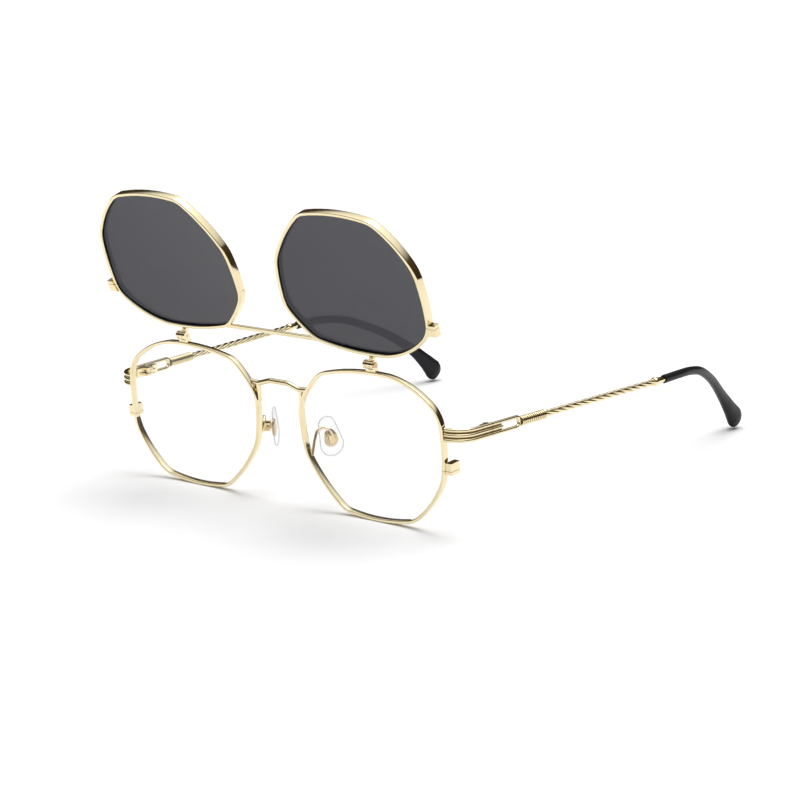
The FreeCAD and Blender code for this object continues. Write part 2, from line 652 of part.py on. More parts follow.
def temple_tip(core):
    """Soft tip: oval sections along a path that bends down and in behind the ear."""
    points = [Vector(*section[:3]) for section in TIP_SECTIONS]
    rings = []
    for i, section in enumerate(TIP_SECTIONS):
        before = points[max(i - 1, 0)]
        after = points[min(i + 1, len(points) - 1)]
        along = Vector(0, 1, 0) if i == 0 else (after - before).normalize()
        side = along.cross(Vector(0, 0, 1)).normalize()
        up = side.cross(along)
        tall, thick = section[3] / 2, section[4] / 2
        oval = Part.Ellipse(points[i] + up * tall, points[i] + side * thick, points[i])
        rings.append(Part.Wire(oval.toShape()))
    return Part.makeLoft(rings, True, True).cut(core)


def save(name, shape, middle_y):
    shape = shape.copy()
    shape.translate(Vector(0, -middle_y, 0))
    shape.exportStep("parts/" + name + ".step")


def build():
    made = {}
    main_lock = lock(MAIN_LOCK_Z, MAIN_LOCK_FRONT, MAIN_LOCK_BACK)
    flip_lock = lock(FLIP_LOCK_Z, FLIP_LOCK_FRONT, FLIP_LOCK_BACK)
    fork = pad_box()
    main_rim = rim(RIM_DEPTH, 0.0, MAIN_LOCK_Z)
    main_lens = bowl(GROOVE_DEPTH, LENS_THICKNESS, 0.0)
    front = {
        "rim": main_rim,
        "lens": main_lens,
        "lock_upper": main_lock[0],
        "lock_lower": main_lock[1],
        "lock_screw": main_lock[2],
        "pad_arm": pad_arm(main_rim, main_lens, fork),
        "pad_box": fork,
        "pad_screw": pad_screw(),
        "pad_stem": pad_stem(),
        "nose_pad": nose_pad(),
        "flip_bracket": flip_bracket(),
        "flip_pin": flip_pin(),
    }
    flip = {
        "flip_rim": rim(FLIP_RIM_DEPTH, FLIP_GAP, FLIP_LOCK_Z),
        "flip_lens": bowl(GROOVE_DEPTH, LENS_THICKNESS, FLIP_GAP),
        "flip_lock_upper": flip_lock[0],
        "flip_lock_lower": flip_lock[1],
        "flip_lock_screw": flip_lock[2],
        "flip_lug": flip_lug(),
    }
    lift = -true_bounds(front_place(main_rim, 0)).ZMin
    core = bead_collar()
    loop = temple_loop()
    temple = {
        "front_hinge": front_hinge(),
        "hinge_screw": hinge_screw(),
        "temple_loop": loop,
        "temple_hinge": temple_hinge(),
        "ferrule": ferrule().cut(loop),
        "twisted_bar": twisted_bar(),
        "bead_collar": core,
        "temple_tip": temple_tip(core),
    }
    right = {}
    for name, shape in front.items():
        right[name] = front_place(shape, lift)
    for name, shape in flip.items():
        right[name] = flip_place(shape, lift)
    for name, shape in temple.items():
        right[name] = temple_place(shape)
    side = front_place(slab(RIM_WIDTH), lift)
    right["end_piece"] = end_piece().cut(side)
    for name, shape in right.items():
        pair = [shape, mirrored(shape)]
        if name in FASTENERS:
            made[name + "s"] = Part.makeCompound(pair)
        else:
            made[name + "_right"], made[name + "_left"] = pair
    made["bridge"] = front_place(bridge(), lift)
    made["flip_bar"] = flip_place(flip_bar(), lift)
    print("lift", lift)
    return made


def main():
    os.makedirs("parts", exist_ok=True)
    made = build()
    bounds = true_bounds(Part.makeCompound(list(made.values())))
    for name, shape in made.items():
        save(name, shape, bounds.Center.y)
        print(name, len(shape.Solids), round(shape.Volume, 2), shape.isValid())
    print("bounds", bounds, "middle y", bounds.Center.y)


main()
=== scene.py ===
# %% [markdown]
# Flip up sunglasses with a polished gold frame, clear lenses, and a second pair of dark lenses on a
# hinge above the brow. The construction is already made and packed as a frame of rigid nodes. This
# lesson dresses it: smooth rims and wires, glossy lenses, soft pads, black tips, light and a
# camera.

# %% Load the frame
import json
import math

import bmesh
import bpy
from mathutils import Matrix, Vector


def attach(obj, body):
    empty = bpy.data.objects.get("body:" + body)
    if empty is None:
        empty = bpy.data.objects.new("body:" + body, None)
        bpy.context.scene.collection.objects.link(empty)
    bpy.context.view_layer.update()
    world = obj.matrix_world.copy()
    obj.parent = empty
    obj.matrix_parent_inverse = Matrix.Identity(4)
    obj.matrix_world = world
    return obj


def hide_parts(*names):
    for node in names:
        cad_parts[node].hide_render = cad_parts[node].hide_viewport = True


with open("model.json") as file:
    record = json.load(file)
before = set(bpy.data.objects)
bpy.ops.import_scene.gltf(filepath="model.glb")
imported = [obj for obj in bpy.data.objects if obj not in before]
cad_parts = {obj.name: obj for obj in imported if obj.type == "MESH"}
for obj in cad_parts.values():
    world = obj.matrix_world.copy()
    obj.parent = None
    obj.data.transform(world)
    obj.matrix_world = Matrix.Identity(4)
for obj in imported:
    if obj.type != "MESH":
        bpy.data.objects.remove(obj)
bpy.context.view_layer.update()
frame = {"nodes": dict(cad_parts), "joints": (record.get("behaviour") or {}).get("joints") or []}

# %% [markdown]
# Every piece is drawn where it is easy to draw and is then placed by one matrix. The front is drawn
# upright with the nose's middle at x = 0. The flip frame is drawn closed, in front of the rims.
# Each temple is drawn straight along +Y from the split behind its hinge. The joints of the frame
# give the places, so nothing has to be fitted by eye. Sizes are in millimetres until the matrix is
# applied.

# %% Places from the joints
joints = {joint["name"]: joint for joint in frame["joints"]}
FRONT_LEAN = math.radians(4.3)  # how far the front leans forwards
FLIP_AXIS = Vector((0, -0.8, 44.9))  # on the upright front
SPLAY = math.radians(4.36)  # how far each temple splays outwards
HINGE_INSET = 1.9  # from the temple's line in to its hinge
MILLIMETRES = Matrix.Scale(0.001, 4)


def shift(*place):
    return Matrix.Translation(Vector(place))


def turn(axis, angle):
    return Matrix.Rotation(angle, 4, axis)


def joint_place(name):
    return shift(*joints[name]["pos_m"]) @ MILLIMETRES


flip_open = math.radians(joints["flip_hinge"]["range_deg"][1])
hinge_back = shift(*-FLIP_AXIS)
FRONT = joint_place("flip_hinge") @ turn("X", FRONT_LEAN) @ hinge_back
FLIP = joint_place("flip_hinge") @ turn("X", FRONT_LEAN - flip_open) @ hinge_back
TEMPLE = joint_place("temple_right_fold") @ turn("Z", -SPLAY) @ shift(HINGE_INSET, 0, 0)
MIRROR = Matrix.Scale(-1, 4, (1, 0, 0))
print("front origin", [round(v, 4) for v in FRONT.translation])

# %% [markdown]
# A finished piece is a plain mesh whose place is in its points. Most pieces come in pairs, so one
# helper places the right one, mirrors it for the left one, turns the mirrored faces the right way
# round, hangs each on the body that carries it and hides the node that it stands for.

# %% Helpers that place finished pieces
SIDES = ("right", "left")
SHARP_ANGLE = math.radians(38)


def mesh_of(points, faces):
    mesh = bpy.data.meshes.new("drawn")
    mesh.from_pydata([tuple(p) for p in points], [], faces)
    mesh.update()
    return mesh


def add_piece(name, mesh, place, body, material, node=None):
    """Places one mesh, smooth shaded with its real edges kept, on the body that carries it."""
    mesh.transform(place)
    if place.determinant() < 0:
        mesh.flip_normals()
    mesh.shade_smooth()
    mesh.set_sharp_from_angle(angle=SHARP_ANGLE)
    mesh.materials.clear()
    mesh.materials.append(material)
    piece = bpy.data.objects.new(name, mesh)
    bpy.context.scene.collection.objects.link(piece)
    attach(piece, body)
    if node:
        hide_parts(node)
    return piece


def add_pair(name, mesh, place, body, material, replaced=True):
    """The right piece and its mirror image. A body named with {} has one for each side."""
    for side in SIDES:
        where = place if side == "right" else MIRROR @ place
        node = f"{name}_{side}" if replaced else None
        carrier = body.format(side)
        add_piece(f"{name}_{side}_look", mesh.copy(), where, carrier, material, node)
    print(name, len(mesh.polygons), "faces each side")


print("helpers for single pieces and for pairs,", " and ".join(SIDES))

# %% [markdown]
# No real surface is perfectly even. A finish here is one shader whose tint follows a coarse noise
# and whose roughness follows that one or a finer one. Where the light should break up a little it
# also has a very shallow bump. Noise in the piece's own coordinates needs no picture and has the
# same scale on every piece. What is the same all over a piece is set on the shader's own socket.

# %% Helpers for finishes
BUMP_HEIGHT = 0.00002


def new_material(name):
    material = bpy.data.materials.new(name)
    material.use_nodes = True
    nodes = material.node_tree.nodes
    return material, nodes, material.node_tree.links, nodes["Principled BSDF"]


def noise(nodes, links, scale, detail):
    place = nodes.new("ShaderNodeTexCoord")
    texture = nodes.new("ShaderNodeTexNoise")
    texture.inputs["Scale"].default_value = scale
    texture.inputs["Detail"].default_value = detail
    links.new(place.outputs["Object"], texture.inputs["Vector"])
    return texture.outputs["Fac"]


def ramp(nodes, links, source, low, high, start=0.3, end=0.7):
    """Colour ramp from low to high over the middle of a noise."""
    node = nodes.new("ShaderNodeValToRGB")
    node.color_ramp.elements[0].position = start
    node.color_ramp.elements[1].position = end
    node.color_ramp.elements[0].color = (*low, 1)
    node.color_ramp.elements[1].color = (*high, 1)
    links.new(source, node.inputs["Fac"])
    return node.outputs["Color"]


def span(nodes, links, source, low, high):
    node = nodes.new("ShaderNodeMapRange")
    node.inputs["To Min"].default_value = low
    node.inputs["To Max"].default_value = high
    links.new(source, node.inputs["Value"])
    return node.outputs["Result"]


def bump(nodes, links, source, shader, strength):
    node = nodes.new("ShaderNodeBump")
    node.inputs["Strength"].default_value = strength
    node.inputs["Distance"].default_value = BUMP_HEIGHT
    links.new(source, node.inputs["Height"])
    links.new(node.outputs["Normal"], shader.inputs["Normal"])


def new_finish(name, dark, light, smooth, rough, mottle, grain=None, relief=0, **sockets):
    """Tint from a coarse noise and roughness from a fine one, each a (scale, detail) pair."""
    material, nodes, links, shader = new_material(name)
    coarse = noise(nodes, links, *mottle)
    fine = noise(nodes, links, *grain) if grain else coarse
    links.new(ramp(nodes, links, coarse, dark, light), shader.inputs["Base Color"])
    links.new(span(nodes, links, fine, smooth, rough), shader.inputs["Roughness"])
    if relief:
        bump(nodes, links, fine, shader, relief)
    for title, value in sockets.items():
        shader.inputs[title.replace("_", " ")].default_value = value
    return material


print("helpers for finishes, bumps up to", BUMP_HEIGHT, "m")

# %% [markdown]
# The metal is gold plate on a polished alloy. Even a mirror finish has some faint handling haze,
# which is the coarse noise in its tint, and hand polishing breaks up its reflections, which is the
# fine noise in its roughness and bump. The narrow grooves are dark from shade, and a third colour,
# dark brown, paints that shade into them.

# %% Metal finishes
def metal(name, dark, light, smooth, rough):
    return new_finish(name, dark, light, smooth, rough, mottle=(90, 3), grain=(2600, 2),
                      relief=0.04, Metallic=1.0)


gold = metal("gold_plate", (0.82, 0.70, 0.43), (0.89, 0.78, 0.52), 0.05, 0.12)
# Duller gold for screws and pins, and on the pad plates a painted dark reflection.
dull_gold_and_dark_reflection = metal("dull_plate_and_dark_reflection", (0.62, 0.48, 0.28), (0.74, 0.60, 0.38), 0.16, 0.28)
# Dark brown for the narrow grooves between ribs and rings: painted shade.
painted_groove_shade = metal("groove_shade_paint", (0.10, 0.07, 0.03), (0.16, 0.11, 0.05), 0.25, 0.40)
print("metal finishes", gold.name, dull_gold_and_dark_reflection.name, painted_groove_shade.name)

# %% [markdown]
# The small brackets, locks, knuckles and screws already have their true shapes in the frame, so
# they only get a finish. Screws and pins are a shade duller than the plated pieces round them.

# %% Dress the nodes that keep their shape
for name, node in frame["nodes"].items():
    finish = dull_gold_and_dark_reflection if name.endswith(("screws", "pins")) else gold
    node.data.materials.clear()
    node.data.materials.append(finish)
print("dressed", len(frame["nodes"]), "nodes")

# %% [markdown]
# The lens opening is a soft eight cornered shape. Its sides bow outwards a little, so each side is
# a long arc, and each corner is a short arc that touches the two sides beside it. A few corners
# with a radius and a bow give the whole outline. Growing it outwards keeps every centre and
# enlarges every radius. Rims, lenses and the black bars of painted reflection all follow this one
# outline.

# %% Outline of the lens opening
# Corner's x from the nose's middle, height and radius, and how far the side after it bows outwards.
LENS_CORNERS = [
    (57.7, 14.8, 12.9, 0.7),
    (57.6, 32.8, 8.9, 1.7),
    (40.9, 41.6, 9.0, 1.0),
    (16.8, 39.3, 6.9, 0.5),
    (8.8, 29.7, 7.7, 0.5),
    (10.1, 15.7, 12.0, 1.0),
    (22.7, 1.0, 7.0, 1.3),
    (47.0, 1.5, 8.5, 1.1),
]
LENS_MIDDLE = Vector((34.0, 21.0))
ARC_STEP = math.radians(2.5)


def bowed_side(i):
    """Centre and radius of the arc along the side that follows a corner."""
    here, after = LENS_CORNERS[i], LENS_CORNERS[(i + 1) % len(LENS_CORNERS)]
    start, end, bow = Vector(here[:2]), Vector(after[:2]), here[3]
    chord = end - start
    radius = (chord.length_squared / 4 + bow ** 2) / (2 * bow)
    out = Vector((chord.y, -chord.x)).normalized()
    return (start + end) / 2 - out * (radius - bow), radius


def corner_centre(i):
    """Centre of the rounded corner that touches the sides before and after it."""
    corner, radius = Vector(LENS_CORNERS[i][:2]), LENS_CORNERS[i][2]
    (before, first), (after, second) = bowed_side(i - 1), bowed_side(i)
    first, second = (first - radius) ** 2, (second - radius) ** 2
    gap = after - before
    foot = before + gap * ((first - second) / gap.length_squared + 1) / 2
    reach = math.sqrt(first - (foot - before).length_squared)
    across = Vector((-gap.y, gap.x)).normalized() * reach
    return min((foot + across, foot - across), key=lambda c: (c - corner).length)


def arc(centre, start, end):
    """Points counter clockwise about a centre, from start up to but without end."""
    ray = start - centre
    first = math.atan2(ray.y, ray.x)
    sweep = (math.atan2(end.y - centre.y, end.x - centre.x) - first) % math.tau
    steps = max(2, round(sweep / ARC_STEP))
    angles = [first + sweep * k / steps for k in range(steps)]
    return [centre + Vector((math.cos(a), math.sin(a))) * ray.length for a in angles]


def opening(grow):
    """Points of the opening's edge, counter clockwise, moved outwards by an even amount."""
    count = len(LENS_CORNERS)
    centres = [corner_centre(i) for i in range(count)]
    sides = [bowed_side(i)[0] for i in range(count)]

    def touch(i, side):
        return centres[i] + (centres[i] - side).normalized() * (LENS_CORNERS[i][2] + grow)

    points = []
    for i in range(count):
        begin, end = touch(i, sides[i - 1]), touch(i, sides[i])
        points += arc(centres[i], begin, end)
        points += arc(sides[i], end, touch((i + 1) % count, sides[i]))
    return points


edge = opening(0)
print("opening", round(max(p.x for p in edge) - min(p.x for p in edge), 1), "mm wide")

# %% [markdown]
# What follows a path or repeats is made with Geometry Nodes. Each tree is built here, with named
# inputs for its sizes. They are set on the modifier by each socket's identifier before anything is
# evaluated, and the result is turned into a plain mesh.

# %% Helpers for node trees
def new_tree(name, sockets):
    tree = bpy.data.node_groups.new(name, "GeometryNodeTree")
    tree.interface.new_socket("Geometry", in_out="INPUT", socket_type="NodeSocketGeometry")
    for title, kind in sockets:
        tree.interface.new_socket(title, in_out="INPUT", socket_type="NodeSocket" + kind)
    tree.interface.new_socket("Geometry", in_out="OUTPUT", socket_type="NodeSocketGeometry")
    return tree, tree.nodes.new("NodeGroupInput").outputs


def node_in(tree, kind, mode=None, **inputs):
    """A node with its mode, if any, and its inputs linked from sockets or set to plain values."""
    node = tree.nodes.new("GeometryNode" + kind)
    if mode:
        node.mode = mode
    for title, value in inputs.items():
        socket = node.inputs[title.replace("_", " ")]
        if isinstance(value, bpy.types.NodeSocket):
            tree.links.new(value, socket)
        else:
            socket.default_value = value
    return node


def close_tree(tree, geometry, material):
    """Realize Instances and Set Material, so that the result is plain mesh with its finish."""
    real = node_in(tree, "RealizeInstances", Geometry=geometry)
    dressed = node_in(tree, "SetMaterial", Geometry=real.outputs[0], Material=material)
    tree.links.new(dressed.outputs[0], tree.nodes.new("NodeGroupOutput").inputs[0])
    return tree


def grown(tree, base, values):
    """Runs a tree on an object and gives the result as a plain mesh."""
    bpy.context.scene.collection.objects.link(base)
    modifier = base.modifiers.new(tree.name, "NODES")
    modifier.node_group = tree
    for item in tree.interface.items_tree:
        if item.in_out == "INPUT" and item.name in values:
            modifier[item.identifier] = values[item.name]
    seen = base.evaluated_get(bpy.context.evaluated_depsgraph_get())
    mesh = bpy.data.meshes.new_from_object(seen)
    base.modifiers.remove(modifier)
    bpy.data.objects.remove(base)
    return mesh


print("every tree ends in Realize Instances and Set Material")

# %% [markdown]
# Rims and wires are bars that follow a path, which is what Curve to Mesh is for. One tree sweeps a
# rectangle with rounded corners for flat bars such as the rims, another sweeps a circle for wires.

# %% Trees that sweep a section along a path
CORNER_STEPS = 4
WIRE_SIDES = 20


def bar_tree():
    tree, given = new_tree("swept bar", [("Width", "Float"), ("Depth", "Float"),
                                         ("Rounding", "Float"), ("Finish", "Material")])
    level = node_in(tree, "SetCurveNormal", mode="Z_UP", Curve=given["Geometry"])
    box = node_in(tree, "CurvePrimitiveQuadrilateral", Width=given["Width"], Height=given["Depth"])
    soft = node_in(tree, "FilletCurve", mode="POLY", Curve=box.outputs[0],
                   Radius=given["Rounding"], Count=CORNER_STEPS)
    swept = node_in(tree, "CurveToMesh", Curve=level.outputs[0], Profile_Curve=soft.outputs[0],
                    Fill_Caps=True)
    return close_tree(tree, swept.outputs[0], given["Finish"])


def wire_tree():
    tree, given = new_tree("round wire", [("Radius", "Float"), ("Finish", "Material")])
    ring = node_in(tree, "CurvePrimitiveCircle", Radius=given["Radius"], Resolution=WIRE_SIDES)
    swept = node_in(tree, "CurveToMesh", Curve=given["Geometry"], Profile_Curve=ring.outputs[0],
                    Fill_Caps=True)
    return close_tree(tree, swept.outputs[0], given["Finish"])


def path(points, closed=False):
    """Curve object through the points."""
    curve = bpy.data.curves.new("path", "CURVE")
    curve.dimensions = "3D"
    spline = curve.splines.new("POLY")
    spline.points.add(len(points) - 1)
    for place, point in zip(spline.points, points):
        place.co = (*point, 1)
    spline.use_cyclic_u = closed
    return bpy.data.objects.new("path", curve)


BAR, WIRE = bar_tree(), wire_tree()


def bar(points, width, depth, rounding, finish=gold, closed=False):
    """Mesh of a flat bar along a path."""
    sizes = {"Width": width, "Depth": depth, "Rounding": rounding, "Finish": finish}
    return grown(BAR, path(points, closed), sizes)


def wire(points, radius, closed=False):
    """Mesh of a round wire along a path."""
    return grown(WIRE, path(points, closed), {"Radius": radius, "Finish": gold})


print("trees", BAR.name, WIRE.name)

# %% [markdown]
# A rim is a slim bar bent round the lens and sawn through at the ear side, where two blocks and a
# screw close it on the lens. The path lies in the middle of the bar and starts and ends at the saw
# cut, so the caps of the sweep are the cut's faces.

# %% Rims
RIM_WIDTH = 1.05
RIM_DEPTH = 2.0
FLIP_RIM_DEPTH = 2.6
RIM_ROUNDING = 0.3
RIM_SHY = 0.03  # slimmer than the solid, so that the look stays inside it
FLIP_GAP = 2.8  # between the middles of the two frames, when closed
LOCK_SLIT = 0.12
MAIN_LOCK_Z = 17.6
FLIP_LOCK_Z = 31.0
UPRIGHT = turn("X", math.pi / 2)


def opened_at(points, height):
    """The outline as an open path from just above the cut, round to just below it."""
    count = len(points)
    for i in range(count):
        here, after = points[i], points[(i + 1) % count]
        if here.x > LENS_MIDDLE.x and here.y <= height < after.y:
            above = here.lerp(after, (height + LOCK_SLIT / 2 - here.y) / (after.y - here.y))
            below = here.lerp(after, (height - LOCK_SLIT / 2 - here.y) / (after.y - here.y))
            return [above] + points[i + 1:] + points[:i + 1] + [below]
    raise ValueError("the cut misses the outline")


def at_height(points, z):
    return [(p.x, p.y, z) for p in points]


def rim_mesh(depth, cut_height):
    middle = opened_at(opening(RIM_WIDTH / 2), cut_height)
    return bar(at_height(middle, 0), RIM_WIDTH - RIM_SHY, depth - RIM_SHY, RIM_ROUNDING)


flip_place = FLIP @ shift(0, -FLIP_GAP, 0)
main_rim, flip_rim = rim_mesh(RIM_DEPTH, MAIN_LOCK_Z), rim_mesh(FLIP_RIM_DEPTH, FLIP_LOCK_Z)
add_pair("rim", main_rim, FRONT @ UPRIGHT, "front", gold)
add_pair("flip_rim", flip_rim, flip_place @ UPRIGHT, "flip", gold)

# %% [markdown]
# Lenses are thin domes cut to the outline. The points go out from the lens middle in rings, each
# set back along a ball, once for the front and once for the back. Both lenses use alpha for what
# shows through them: the clear ones are almost only a gloss, and the dark ones let a little
# through. Faint smears in the roughness stop the gloss from looking like a perfect sheet.

# %% Lenses
LENS_BALL_RADIUS = 260.0
EDGE_RADIUS = 23.4  # where the dome is level with the rim's middle
LENS_THICKNESS = 1.0
GROOVE_DEPTH = 0.35
LENS_RINGS = 10


def lens_mesh():
    rim = opening(GROOVE_DEPTH)
    count = len(rim)
    points, faces = [], []
    for side in (-1, 1):
        base = len(points)
        for ring in range(LENS_RINGS + 1):
            for p in rim if ring else rim[:1]:
                flat = LENS_MIDDLE.lerp(p, ring / LENS_RINGS)
                away = (flat - LENS_MIDDLE).length_squared - EDGE_RADIUS ** 2
                set_back = away / (2 * LENS_BALL_RADIUS) + side * LENS_THICKNESS / 2
                points.append((flat.x, set_back, flat.y))
        for i in range(count):
            j = (i + 1) % count
            loops = [[base, base + 1 + i, base + 1 + j]]
            for ring in range(1, LENS_RINGS):
                near = base + 1 + (ring - 1) * count
                loops.append([near + i, near + count + i, near + count + j, near + j])
            faces += [loop if side < 0 else loop[::-1] for loop in loops]
    front_edge = 1 + (LENS_RINGS - 1) * count
    back_edge = front_edge + 1 + LENS_RINGS * count
    for i in range(count):
        j = (i + 1) % count
        faces.append([front_edge + i, back_edge + i, back_edge + j, front_edge + j])
    return mesh_of(points, faces)


def lens_finish(name, thin, thick, alpha):
    return new_finish(name, thin, thick, 0.02, 0.06, mottle=(160, 4), IOR=1.55, Alpha=alpha)


clear = lens_finish("clear_lens", (0.93, 0.94, 0.95), (0.97, 0.98, 0.98), 0.05)
smoke = lens_finish("smoke_lens", (0.004, 0.004, 0.014), (0.006, 0.006, 0.020), 0.82)
add_pair("lens", lens_mesh(), FRONT, "front", clear)
add_pair("flip_lens", lens_mesh(), flip_place, "flip", smoke)

# %% [markdown]
# The inner wall of each flip rim mirrors the dark lens and shows as a thin black line between lens
# and metal. That reflection is painted: one more black bar swept round the opening, as thin as a
# coat of lacquer, and narrower than the rim, so that the rim's rounded edges stay gold.

# %% Painted reflection inside the flip rims
REFLECTION_SHEET = 0.08
REFLECTION_SHEET_DEPTH = FLIP_RIM_DEPTH - 2 * RIM_ROUNDING
# Dull black that stands for the dark lens mirrored in the rim's inner wall: painted reflection.
dark_reflection_paint = new_finish("painted_dark_reflection", (0.002, 0.002, 0.002), (0.005, 0.005, 0.005), 0.45, 0.60,
                     mottle=(700, 3), Specular_IOR_Level=0.2)
dark_reflection_sheet = bar(at_height(edge, 0), REFLECTION_SHEET, REFLECTION_SHEET_DEPTH, REFLECTION_SHEET / 4, dark_reflection_paint, closed=True)
add_pair("flip_rim_dark_reflection", dark_reflection_sheet, flip_place @ UPRIGHT, "flip", dark_reflection_paint, replaced=False)

# %% [markdown]
# The end piece is three round ribs side by side on a thin back plate, bent round from the rim's
# side to the hinge. Each rib is a round wire along two straight runs joined by an arc. A thin strip
# in front of the plate carries painted shade, which darkens the floors of the grooves between the
# ribs.

# %% Ribbed end pieces
RIB_PITCH = 1.45
RIB_RADIUS = 0.56
PLATE_BACK = 0.45  # from the temple's line to the back of the plate
PLATE_HEIGHT = 2 * RIB_PITCH + RIB_RADIUS
PLATE_ROUNDING = 0.12
GROOVE_PROUD = 0.03
CORNER_RADIUS = 6.0
SPLIT_GAP = 0.12
END_START = -6.6  # x at the rim, from the split
END_DEPTH = -12.1  # y of the run beside the rim, from the split
BAR_X = RIB_RADIUS - PLATE_BACK  # middle of the ribs and of the bar behind them
TURN_STEPS = 18
END = (joint_place("temple_right_fold")
       @ shift(HINGE_INSET * math.cos(SPLAY), -HINGE_INSET * math.sin(SPLAY), 0))


def end_path(out):
    """From the rim's side, round the corner, to the split, moved outwards from the plate."""
    angle = math.pi / 2 - SPLAY
    radius = CORNER_RADIUS + out
    along = Vector((math.sin(SPLAY), math.cos(SPLAY)))
    sideways = Vector((along.y, -along.x))
    split = along * (-SPLIT_GAP / 2)
    run = (split.y - END_DEPTH - CORNER_RADIUS * (1 - math.cos(angle))) / along.y
    centre = split - along * run - sideways * CORNER_RADIUS
    points = [Vector((END_START, centre.y - radius))]
    for k in range(TURN_STEPS + 1):
        a = angle * k / TURN_STEPS
        points.append(centre + Vector((math.sin(a), -math.cos(a))) * radius)
    points.append(split + sideways * out)
    return points


def joined(meshes):
    """One mesh of several."""
    whole = bmesh.new()
    for mesh in meshes:
        whole.from_mesh(mesh)
    mesh = bpy.data.meshes.new("joined")
    whole.to_mesh(mesh)
    whole.free()
    return mesh


def plate(points, thickness, height):
    """Mesh of a thin bar with its edges just broken."""
    return bar(points, thickness, height, min(PLATE_ROUNDING, thickness / 4))


# A thin strip that only carries the painted shade on the floors of the grooves.
def groove_shade_strip(points):
    return plate(points, 2 * GROOVE_PROUD, 2 * RIB_PITCH)


plate_thickness = BAR_X + PLATE_BACK
plate_x = (BAR_X - PLATE_BACK) / 2
groove_x = BAR_X + GROOVE_PROUD
ribs = [wire(at_height(end_path(BAR_X), z), RIB_RADIUS) for z in (RIB_PITCH, 0, -RIB_PITCH)]
ribs.append(plate(at_height(end_path(plate_x), 0), plate_thickness, PLATE_HEIGHT))
add_pair("end_piece", joined(ribs), END, "front", gold)
# Painted shade between the ribs.
end_groove_shade = groove_shade_strip(at_height(end_path(groove_x), 0))
add_pair("end_piece_groove_shade", end_groove_shade, END, "front", painted_groove_shade, replaced=False)
print("split", [round(v, 4) for v in END.translation])

# %% [markdown]
# Balls, beads and collars are turned on a lathe. A helper does the same: it spins a profile about
# the temple's length. Where the profile touches the axis the ring is a single point, so the end is
# closed.

# %% Helpers for turned pieces
SPIN_STEPS = 36
BALL_STEPS = 14


def turned(profile):
    """Mesh of a profile of (radius, along) points spun about +Y."""
    points, faces, rings = [], [], []
    for radius, along in profile:
        steps = SPIN_STEPS if radius else 1
        rings.append((len(points), steps))
        for k in range(steps):
            angle = math.tau * k / SPIN_STEPS
            points.append((radius * math.cos(angle), along, -radius * math.sin(angle)))
    for (near, near_steps), (far, far_steps) in zip(rings, rings[1:]):
        for k in range(SPIN_STEPS):
            j = (k + 1) % SPIN_STEPS
            loop = [near + k % near_steps, near + j % near_steps,
                    far + j % far_steps, far + k % far_steps]
            faces.append(list(dict.fromkeys(loop)))
    return mesh_of(points, faces)


def ball(radius, *place):
    """Ball about a place, spun from a half circle."""
    angles = [math.pi * k / BALL_STEPS for k in range(1, BALL_STEPS)]
    middle = [(radius * math.sin(a), -radius * math.cos(a)) for a in angles]
    mesh = turned([(0, -radius)] + middle + [(0, radius)])
    mesh.transform(shift(*place))
    return mesh


print("turned pieces have", SPIN_STEPS, "sides")

# %% [markdown]
# Behind the hinge the outer two ribs run on and join in a loop, and the middle one stops short and
# ends in a small ball. The loop is one wire: out along the top, round a half circle and back along
# the bottom.

# %% Loops behind the hinges
LEAF_END = 4.8
MIDDLE_RIB_END = 4.2
LOOP_END = 12.3


def behind_split(x, end, z=0):
    """Straight run back along the temple."""
    return [(x, SPLIT_GAP / 2, z), (x, end, z)]


upper_start, lower_start = ((BAR_X, SPLIT_GAP / 2, z) for z in (RIB_PITCH, -RIB_PITCH))
round_start = LOOP_END - RIB_PITCH - RIB_RADIUS
round_end = []
for k in range(TURN_STEPS + 1):
    a = math.pi * k / TURN_STEPS
    round_end.append((BAR_X, round_start + RIB_PITCH * math.sin(a), RIB_PITCH * math.cos(a)))
loop_pieces = [
    wire([upper_start] + round_end + [lower_start], RIB_RADIUS),
    wire(behind_split(BAR_X, MIDDLE_RIB_END), RIB_RADIUS),
    ball(RIB_RADIUS, BAR_X, MIDDLE_RIB_END, 0),
    plate(behind_split(plate_x, MIDDLE_RIB_END), plate_thickness, PLATE_HEIGHT),
]
for z in (RIB_PITCH, -RIB_PITCH):
    loop_pieces.append(plate(behind_split(plate_x, LEAF_END, z), plate_thickness, RIB_RADIUS))
add_pair("temple_loop", joined(loop_pieces), TEMPLE, "temple_{}", gold)
# Painted shade between the ribs behind the hinge.
loop_groove_shade = groove_shade_strip(behind_split(groove_x, MIDDLE_RIB_END))
add_pair("temple_loop_groove", loop_groove_shade, TEMPLE, "temple_{}", painted_groove_shade,
         replaced=False)

# %% [markdown]
# The ferrule is a sleeve with a row of equal rings. A row of equal things is a job for instances on
# points: one ring is swept once and set down along a line. A plain sleeve fills the middle, with
# the dark brown of the grooves as painted shade, because all that shows of it lies in the shaded
# gaps between the rings.

# %% Ringed ferrules
FERRULE_END = 22.7
FERRULE_OVERLAP = 0.35  # how far it covers the loop's end
FERRULE_RINGS = 13
SLEEVE_RADIUS = 1.1
RING_RADIUS = 1.4
RING_SHARE = 0.6  # of the pitch that a ring takes up
RING_STEPS = 40
RING_SIDES = 14
ALONG_Y = turn("X", -math.pi / 2)


